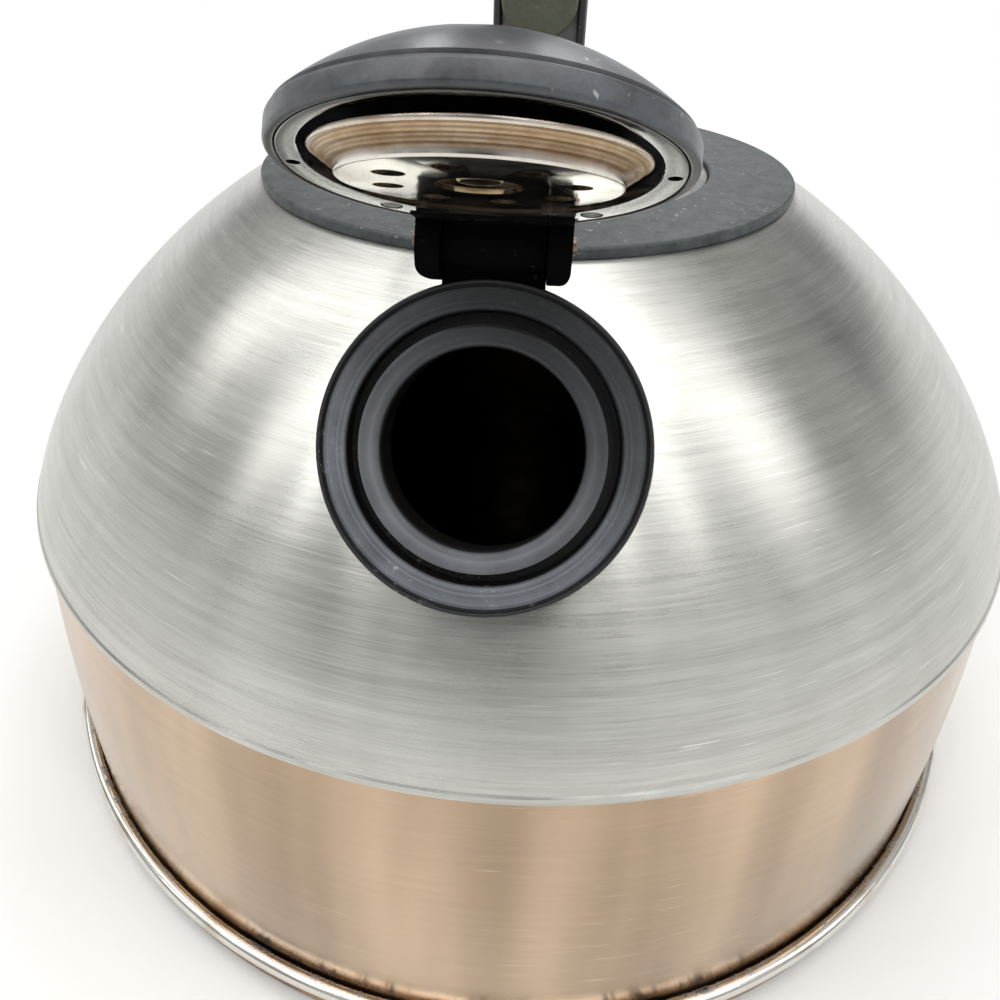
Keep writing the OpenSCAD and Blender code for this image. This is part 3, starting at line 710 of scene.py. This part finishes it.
def makeLid():
    # a shallow round crown with a short wall, and the knob turned on the same axis
    r, rim, top, sheet, foot = 36.4, 122.1, 128.6, 0.8, 119.7
    crown = domeArc(r, top - rim, rim, 30)
    wall = np.array([[r - sheet, foot + 0.1], [r, foot]])
    inner = (crown - [0, sheet])[::-1]
    inner[-1] = [r - sheet, rim - sheet]
    mesh = gridMesh("lidSheet", revolve(np.concatenate([wall, crown, inner]), 192))
    addPiece("lidSheet", mesh, "lid", "lid_steel", lidSteel, "lid_shell")
    knob = roundedProfile([
        (0, 0.05, 0), (6.5, 0.05, 0.6), (5, 2.5, 1), (5, 4, 1.2), (9.5, 5, 1),
        (11, 6.5, 1.5), (11, 8, 1.2), (6, 10.6, 6), (0, 11, 0),
    ], 8) + [0, top]
    mesh = gridMesh("lidKnob", revolve(knob, 128))
    addPiece("lidKnob", mesh, "lid", "handle_plastic", blackHandle, "lid_knob")


makeDome()
makeBand()
makeBase()
makeCollar()
makeLid()
print("body made")


# Spout mouth and hinge

def makeRing():
    # stepped ring turned about the spout's axis, with the hinge's neck and knuckle on top
    r, groove, bore, back = spout["ringR"], spout["grooveR"], 15.6, -11
    profile = roundedProfile([
        (bore, back, 0.2), (17.5, back, 0.5), (18.8, -9.5, 1.5), (r, -4.2, 1.0), (r, -1.2, 0.35),
        (r - 0.2, -0.6, 0.15), (r - 0.6, -0.6, 0.15), (r - 0.75, -1.35, 0.1),
        (r - 1.0, -1.1, 0.12), (groove + 0.3, -1.1, 0.2), (groove, -1.4, 0.2),
        (groove, -4.5, 0), (bore, -4.5, 0),
    ], 5)
    ring = gridMesh("ring", atSpout(revolve(profile, 224)))
    # the knuckle fills the room between the ears but for a hair's breadth
    half = hinge["earIn"] - 0.05
    neckOutline = boxOutline(-half, half, r - 2.0, hinge["u"], 0.2)
    neck = prismMesh("neck", neckOutline, -5.3, -1.4, 0.3, atSpout)
    knuckle = hingeRod(hinge["knuckleR"], -half, half, 0.3, atSpout)
    mesh = joinMeshes("spoutRing", [ring, neck, knuckle], [0, 1, 1])
    addPiece("spoutRing", mesh, "kettle", "ring_plastic", (blackRing, shadedBlackHinge), "spout_ring")


def makeSeal():
    # a flat-faced lip seal; behind the lip its sleeve steps back out of sight
    b, t = spout["boreR"], spout["tubeR"]
    profile = roundedProfile([
        (b + 1.2, -5, 0), (t, -5, 0), (t, 0.0, 0.3), (t - 0.4, 0.4, 0.2), (b + 0.5, 0.4, 0.2),
        (b + 0.15, 0.15, 0.15), (b, -0.3, 0.2), (b, -1.8, 0.2), (b + 1.2, -2.8, 0.2),
    ], 5)
    mesh = gridMesh("spoutSeal", atSpout(revolve(profile, 224)))
    addPiece("spoutSeal", mesh, "kettle", "seal_silicone", darkSeal, "spout_seal")


def makePin():
    # the pin stands out of the ears, farther on the left than on the right
    start, end = -hinge["earOut"] - 1.0, hinge["earOut"] + 0.6
    mesh = hingeRod(hinge["r"], start, end, 0.25, atSpout, 32)
    addPiece("hingePin", mesh, "kettle", "pin_steel", pinSteel, "hinge_pin")


makeRing()
makeSeal()
makePin()
print("spout made")


# Whistle cap

def makeCapShell():
    # side band and a round dome over it, turned about the shell's own axis, with a window
    # for the ears and a steam vent
    r, band, rise, inR = cap["r"], cap["band"], cap["rise"], cap["r"] - cap["wall"]
    rim = roundedProfile([(inR, band, 0), (inR, 0, 0.3), (r, 0, 0.45), (r, band, 0.5)])[1:]
    dome = domeArc(r, rise, band, 40)[1:]
    inside = domeArc(inR, rise - 1.4, band, 30)[:0:-1]
    shell = gridMesh("shell", atShell(revolve(np.concatenate([rim, dome, inside]), 192)))
    window = prismMesh("window", boxOutline(-9.5, 9.5, 16.5, 28.5), -4, 2.7, 0, atCap)
    vent = prismMesh("vent", circleOutline(1.9, 48, x=-0.5, y=-11.5), 4, 16, 0, atShell)
    mesh = cutMesh(cutMesh(shell, window), vent)
    addPiece("capShell", mesh, "cap", "cap_plastic", blackCap, "cap_shell")


def makeCapBase():
    # flat ring between the shell's wall and the whistle's round pocket, as a ruled surface:
    # edge + (well - edge) * across, with both of its edges eased
    outer, pocket, thick = cap["r"] - cap["wall"] - 0.1, cap["pocket"], 1.4
    t = np.linspace(0, 2 * math.pi, 192, endpoint=False)
    circle = np.stack([np.sin(t), -np.cos(t), 0 * t], -1)
    edge, well = outer * circle, pocket * circle - [0, cap["shift"], 0]
    across = np.array([0, 0.05, 0.1, 0.9, 0.96, 1.0])
    ease = np.array([0.1, 0.02, 0, 0, 0.03, 0.12])
    low = edge + (well - edge) * across[:, None, None]
    low[..., 2] += ease[:, None]
    wallRow = well + [0, math.tan(math.radians(cap["wedge"])) * thick, thick]
    top = edge + [0, 0, thick]
    ring = gridMesh("innerRing", atShell(np.concatenate([low, wallRow[None], top[None]])))
    # two screw pits and two mould holes
    pits = [
        prismMesh("pit", circleOutline(r, 32, side * x, y), -1, depth, 0, atShell)
        for r, x, y, depth in ((1.25, 11.0, 13.1, 0.5), (0.7, 17.7, -1.0, 1.0))
        for side in (1, -1)
    ]
    ring = cutMesh(ring, joinMeshes("pits", pits))
    web = prismMesh("web", boxOutline(-9.4, 9.4, 16.8, 22.2, 0.2), 0, 2.6, 0.3, atCap)
    web = cutMesh(web, prismMesh("pocket", circleOutline(pocket, 96), -6, 8, 0, atCap))
    mesh = joinMeshes("capBase", [ring, web, makeEar(-1), makeEar(1)], [0, 1, 1, 1])
    addPiece("capBase", mesh, "cap", "cap_plastic", (glossRing, shadedBlackHinge), "cap_base")


def makeEar(side):
    # one ear: an outline across the hinge with a round outer lower corner, drawn along the cap
    # and rounded about the pin, with the bridge that ties it to the web
    inner, outer = hinge["earIn"] * side, hinge["earOut"] * side
    low, high = hinge["n"] - 4.9, hinge["n"] + 3.9
    corners = [(inner, low, 0.2), (outer, low, 1.4), (outer, high, 0.4), (inner, high, 0.2)]
    outline = roundedProfile(corners if side > 0 else corners[::-1])

    def lay(points):
        return atCap(points[:, [0, 2, 1]])

    ear = prismMesh("ear", outline, 20.5, hinge["u"] + 3.9, 0.25, lay)
    head = cutMesh(ear, hingeRod(hinge["sweep"], -20, 20, 0, atCap, 96), "INTERSECT")
    tie = boxOutline(min(inner, outer), max(inner, outer), 20, hinge["u"], 0.2)
    return joinMeshes("earAndBridge", [head, prismMesh("bridge", tie, 0, 2.1, 0.25, atCap)])


def makeWhistle():
    # stepped cup of thin sheet: step i goes out by stepR and back by stepN, and the inner line
    # follows one sheet's thickness inside it; then a wide middle hole and a ring of steam holes
    w = whistle
    start = w["n"] + w["first"]
    corners = [(0, w["n"], 0), (w["r"], w["n"], 0.3), (w["r"], start, 0.3)]
    for i in range(1, w["steps"] + 1):
        r, n = w["r"] + i * w["stepR"], start + i * w["stepN"]
        corners += [(r, n - w["stepN"], 0.25), (r, n, 0.28 if i < w["steps"] else 0.1)]
    inset = w["sheet"] + 0.05
    for i in range(w["steps"], -1, -1):
        r, n = w["r"] + i * w["stepR"] - w["sheet"], start + i * w["stepN"]
        corners.append((r, n + inset if i < w["steps"] else n, 0.08))
        if i:
            corners.append((r, n - w["stepN"] + inset, 0.08))
    corners += [(w["r"] - w["sheet"], w["n"] + w["sheet"], 0.1), (0, w["n"] + w["sheet"], 0)]
    cup = gridMesh("cup", atCap(revolve(roundedProfile(corners, 4), 192)))
    holes = [prismMesh("hub", circleOutline(w["hubR"], 64), 0, 2, 0, atCap)]
    for i in range(w["holes"]):
        a = math.radians(i * 360 / w["holes"] - 90 - w["turn"])
        middle = w["circleR"] * math.cos(a), w["circleR"] * math.sin(a)
        holes.append(prismMesh("steam", circleOutline(w["holeR"], 40, *middle), 0, 2, 0, atCap))
    mesh = cutMesh(cup, joinMeshes("holes", holes))
    addPiece("whistleCup", mesh, "cap", "whistle_steel", whistleReflectionSteel, "whistle_cup")


def makeRivet():
    # head and shaft turned about the whistle's axis
    headR, shaftR, low, neck, high = 2.4, 1.2, 1.0, 2.2, 6.2
    head = roundedProfile([
        (0, low, 0), (headR - 0.4, low, 0.5), (headR, low + 0.5, 0.4), (headR, neck, 0),
        (0, neck, 0),
    ], 6)
    shaft = roundedProfile([(0, neck, 0), (shaftR, neck, 0), (shaftR, high, 0.3), (0, high, 0)])
    mesh = joinMeshes("whistleRivet", [
        gridMesh("head", atCap(revolve(head, 48))), gridMesh("shaft", atCap(revolve(shaft, 32))),
    ])
    addPiece("whistleRivet", mesh, "cap", "rivet_brass", rivetMetal, "whistle_rivet")


makeCapShell()
makeCapBase()
makeWhistle()
makeRivet()
print("whistle cap made")


# Handle

handle = dict(
    y=45.1, w=22.0, t=12.0, round=4.6, startZ=124.8, postZ=150.0, bendR=42.0, bendA=75.0,
    bowR=110.0, bowA=37.0, noseL=7.0, padW=17.8, padProud=0.8, padUp=4.0, channelD=7.5,
    footH=13.0, footX=14.0, footY=7.4, play=0.1,
)


def handlePath(fromZ):
    # up the post, round the rear bend and along the long bow: places and outward directions
    h, postCount, count = handle, 6, 40
    z = np.linspace(fromZ, h["postZ"], postCount, endpoint=False)
    post = np.stack([np.full(postCount, h["y"]), z], 1)
    out = np.tile([1.0, 0.0], (postCount, 1))
    a = np.radians(np.linspace(0, h["bendA"], count, endpoint=False))
    centre = np.array([h["y"] - h["bendR"], h["postZ"]])
    bendOut = np.stack([np.cos(a), np.sin(a)], 1)
    b = np.radians(np.linspace(h["bendA"], h["bendA"] + h["bowA"], count))
    bowOut = np.stack([np.cos(b), np.sin(b)], 1)
    bowCentre = centre + (h["bendR"] - h["bowR"]) * bowOut[0]
    places = np.concatenate([post, centre + h["bendR"] * bendOut, bowCentre + h["bowR"] * bowOut])
    return places, np.concatenate([out, bendOut, bowOut])


def sweepHandle(outline, fromZ):
    # outline's X goes outward from the bend's middle, and its Y goes across the handle
    places, out = handlePath(fromZ)
    across = outline[None, :, 1] + 0 * places[:, :1]
    yz = places[:, None, :] + out[:, None, :] * outline[None, :, :1]
    return np.concatenate([across[..., None], yz], -1)


def makeHandle():
    # the frame with a channel inside its bend, and the pad in it, whose foot is a half circle:
    # its width goes with cos(u) and its depth below the pad with sin(u)
    h = handle
    t, w, half = h["t"] / 2, h["w"] / 2, h["padW"] / 2 + h["play"]
    inner = -t + h["channelD"]
    frameOutline = roundedProfile([
        (-t + 0.4, -half, 0.3), (inner, -half, 0.6), (inner, half, 0.6), (-t + 0.4, half, 0.3),
        (-t + 1.6, w - 0.4, 1.2), (-t + 4.6, w, 3), (t, w, h["round"]), (t, -w, h["round"]),
        (-t + 4.6, -w, 3), (-t + 1.6, -w + 0.4, 1.2),
    ], 6)
    mesh = gridMesh("handleFrame", sweepHandle(frameOutline, h["startZ"]), ends=True)
    addPiece("handleFrame", mesh, "kettle", "handle_plastic", blackHandle, "handle_shell")
    padIn, padOut, padHalf = -t - h["padProud"], -t + 4.3, h["padW"] / 2
    padOutline = roundedProfile([
        (padIn, -padHalf, 1.2), (padOut, -padHalf, 0.2), (padOut, padHalf, 0.2),
        (padIn, padHalf, 1.2),
    ], 6)
    padZ = body["collarZ"] + h["footH"] + h["padUp"] + padHalf
    grid = sweepHandle(padOutline, padZ)
    u = np.linspace(math.pi / 2, 0, 12, endpoint=False)[:, None]
    tongue = np.repeat(grid[:1], len(u), 0)
    tongue[..., 0] *= np.cos(u)
    tongue[..., 2] = padZ - padHalf * np.sin(u)
    mesh = gridMesh("gripPad", np.concatenate([tongue, grid]), ends=True)
    addPiece("gripPad", mesh, "kettle", "grip_soft", softGrip, "grip_pad")


def makeNose():
    # the handle's section past the end of the bow: noseL sin(u) along, while it shrinks by
    # 0.35 (1 - cos(u)) in thickness and by 0.2 (1 - cos(u)) in width
    h = handle
    t, w, fillet = h["t"] / 2, h["w"] / 2, h["round"]
    places, out = handlePath(h["startZ"])
    end, outward = places[-1], out[-1]
    along = np.array([-outward[1], outward[0]])
    corners = [(-t, -w, fillet), (t, -w, fillet), (t, w, fillet), (-t, w, fillet)]
    section = roundedProfile(corners, 8)
    u = np.linspace(0, math.pi / 2, 12)[:, None]
    x = section[:, 1] * (1 - 0.2 * (1 - np.cos(u)))
    depth = section[:, 0] * (1 - 0.35 * (1 - np.cos(u)))
    far = h["play"] + h["noseL"] * np.sin(u)
    yz = end + along * far[..., None] + outward * depth[..., None]
    mesh = gridMesh("handleNose", np.concatenate([x[..., None], yz], -1), ends=True)
    addPiece("handleNose", mesh, "kettle", "handle_plastic", blackHandle, "handle_nose")


def makeFoot():
    # a block on the collar, with a socket that the post stands in
    h = handle
    x, y = h["w"] / 2 + h["play"], h["t"] / 2 + h["play"]
    low, high, above = body["collarZ"], body["collarZ"] + h["footH"], 140.0

    def lay(points):
        return points + [0, h["y"], 0]

    outline = boxOutline(-h["footX"], h["footX"], -h["footY"], h["footY"], 5)
    block = prismMesh("block", outline, low, high, 0.8, lay)
    socket = boxOutline(-x, x, -y, y, 4.7)
    mesh = cutMesh(block, prismMesh("socket", socket, h["startZ"] - h["play"], above, 0, lay))
    addPiece("handleFoot", mesh, "kettle", "handle_plastic", blackHandle, "handle_foot")


makeHandle()
makeNose()
makeFoot()
print("handle made")


# Nodes that stay as they are, each with its own finish
nodeFinishes = dict(
    body_floor=innerSteel, throat_nut=blackCollar, spout_tube=innerSteel, handle_core=innerSteel,
    handle_bolts=screwSteel, cap_screws=screwSteel, whistle_disc=whistleReflectionSteel, lid_plug=innerSteel,
    lid_gasket=sealWhite, knob_screw=screwSteel, knob_washer=innerSteel,
)
for nodeName, finish in nodeFinishes.items():
    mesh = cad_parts[nodeName].data
    mesh.materials.clear()
    mesh.materials.append(finish)


# Studio

def seenDirectly(tree):
    # 1 for what the camera sees directly, in a metal or through glass
    path = addNode(tree, "LightPath").outputs
    seen = calculate(tree, "MAXIMUM", path["Is Camera Ray"], path["Is Glossy Ray"])
    return calculate(tree, "MAXIMUM", seen, path["Is Transmission Ray"])


def makeFloor():
    # pale floor: it keeps the object's shadow near by, and fades to plain white farther out
    material, tree, shader = newMaterial("paleStudioFloor", "#e9e9e7", 0.0, 0.9)
    shader.inputs["Specular IOR Level"].default_value = 0.1
    point = objectPoint(tree)
    clouds = noiseValue(tree, point, 6.0, 2.0)
    tone = blendColour(tree, clouds, "#e8e8e6", "#ededeb")
    tree.links.new(tone, shader.inputs["Base Color"])
    radius = axisDistance(tree, point)[0]
    fade = calculate(tree, "MULTIPLY", spread(tree, radius, 0.16, 0.5), seenDirectly(tree))
    white = addNode(tree, "Emission", {"Color": linearColour("#ffffff"), "Strength": 1.0})
    mixed = addNode(tree, "MixShader", {0: fade, 1: shader.outputs[0], 2: white.outputs[0]})
    tree.links.new(mixed.outputs[0], tree.nodes["Material Output"].inputs[0])
    mesh = bpy.data.meshes.new("floor")
    half = 6.0
    corners = [(-half, -half, 0), (half, -half, 0), (half, half, 0), (-half, half, 0)]
    mesh.from_pydata(corners, [], [(0, 1, 2, 3)])
    mesh.materials.append(material)
    floor = bpy.data.objects.new("floor", mesh)
    scene.collection.objects.link(floor)


def addLight(name, place, size, power):
    # a rectangular softbox that faces the middle of the body
    light = bpy.data.lights.new(name, "AREA")
    light.shape = "RECTANGLE"
    light.size, light.size_y = size
    light.energy = power
    lamp = bpy.data.objects.new(name, light)
    scene.collection.objects.link(lamp)
    lamp.location = place
    lamp.rotation_mode = "QUATERNION"
    lamp.rotation_quaternion = (Vector((0, 0, 0.08)) - Vector(place)).to_track_quat("-Z", "Y")


def makeLights():
    # a pale room with a white backdrop round its foot, softly uneven walls and a lighter ceiling;
    # the camera sees all of it white, and metal and glass see the backdrop white
    world = bpy.data.worlds.new("studioWorld")
    scene.world = world
    world.use_nodes = True
    tree = world.node_tree
    background = tree.nodes["Background"]
    _, away, height = axisDistance(tree, objectPoint(tree))
    walls = spread(tree, noiseValue(tree, away, 3.2), 0.38, 0.62, 0.1, 0.5)
    level = calculate(tree, "ADD", walls, spread(tree, height, 0.1, 0.95, 0.0, 0.35))
    # darker on the side that the photo was taken from
    ahead = addNode(
        tree, "VectorMath", {0: away, 1: [0.08, -1, 0]}, operation="DOT_PRODUCT"
    ).outputs["Value"]
    dark = calculate(
        tree, "MULTIPLY", spread(tree, ahead, 0.93, 0.99), spread(tree, height, 0.85, 0.5)
    )
    level = calculate(tree, "MULTIPLY", level, calculate(tree, "MULTIPLY_ADD", dark, -0.8, 1.0))
    camera = addNode(tree, "LightPath").outputs["Is Camera Ray"]
    backdrop = calculate(tree, "MULTIPLY", spread(tree, height, 0.3, 0.1), seenDirectly(tree))
    level = calculate(tree, "MAXIMUM", level, calculate(tree, "MAXIMUM", camera, backdrop))
    tree.links.new(level, background.inputs[1])
    background.inputs[0].default_value = linearColour("#ffffff")
    # softboxes 1 m from the body, by azimuth and rise in degrees
    for name, azimuth, rise, size, power in (
        ("softboxFrontLeft", -126, 54, (0.07, 0.6), 0.8),
        ("softboxLeft", -143, 50, (0.05, 0.6), 0.6),
        ("softboxLeftLow", -157, 46, (0.08, 0.6), 0.7),
        ("softboxFarLeft", 170, 45, (0.25, 0.7), 1.2),
        ("softboxFront", -100, 62, (0.06, 0.5), 0.4),
        ("softboxFrontRight", -70, 58, (0.06, 0.6), 0.6),
        ("softboxRight", -57, 54, (0.05, 0.6), 0.5),
        ("softboxRightLow", -40, 50, (0.07, 0.6), 0.5),
        ("softboxFarRight", -14, 45, (0.25, 0.7), 1.2),
        ("softboxOverhead", -60, 84, (0.8, 0.8), 4.0),
        ("softboxBehind", 88, 38, (0.6, 0.35), 2.4),
    ):
        a, e = math.radians(azimuth), math.radians(rise)
        place = (math.cos(a) * math.cos(e), math.sin(a) * math.cos(e), math.sin(e) + 0.1)
        addLight(name, place, size, power)


# The camera that the photograph was taken with, found from its ellipses
photoCamera = dict(
    place=(7.3, -167.9, 164.7), yaw=5.26, pitch=32.54, roll=1.11,
    focalPx=801.6, centreX=480.5, centreY=425.5, framePx=1000.0, sensorMm=36.0,
)


def makeCamera():
    # forward from yaw and pitch, then the image's right and up turned by the roll
    c = photoCamera
    yaw, pitch, roll = (math.radians(c[k]) for k in ("yaw", "pitch", "roll"))
    forward = np.array([
        -math.sin(yaw) * math.cos(pitch), math.cos(yaw) * math.cos(pitch), -math.sin(pitch),
    ])
    right = np.array([math.cos(yaw), math.sin(yaw), 0])
    up = np.cross(right, forward)
    right, up = (
        right * math.cos(roll) + up * math.sin(roll), up * math.cos(roll) - right * math.sin(roll),
    )
    data = bpy.data.cameras.new("photoCamera")
    data.sensor_width = c["sensorMm"]
    data.lens = c["sensorMm"] * c["focalPx"] / c["framePx"]
    data.shift_x = (c["framePx"] / 2 - c["centreX"]) / c["framePx"]
    data.shift_y = (c["centreY"] - c["framePx"] / 2) / c["framePx"]
    data.clip_start, data.clip_end = 0.005, 50
    camera = bpy.data.objects.new("photoCamera", data)
    scene.collection.objects.link(camera)
    place = np.array(c["place"]) * mm
    rows = [[right[i], up[i], -forward[i], place[i]] for i in range(3)] + [[0, 0, 0, 1]]
    camera.matrix_world = Matrix(rows)
    scene.camera = camera


makeFloor()
makeLights()
makeCamera()
scene.view_settings.view_transform = "Standard"
print("studio made")
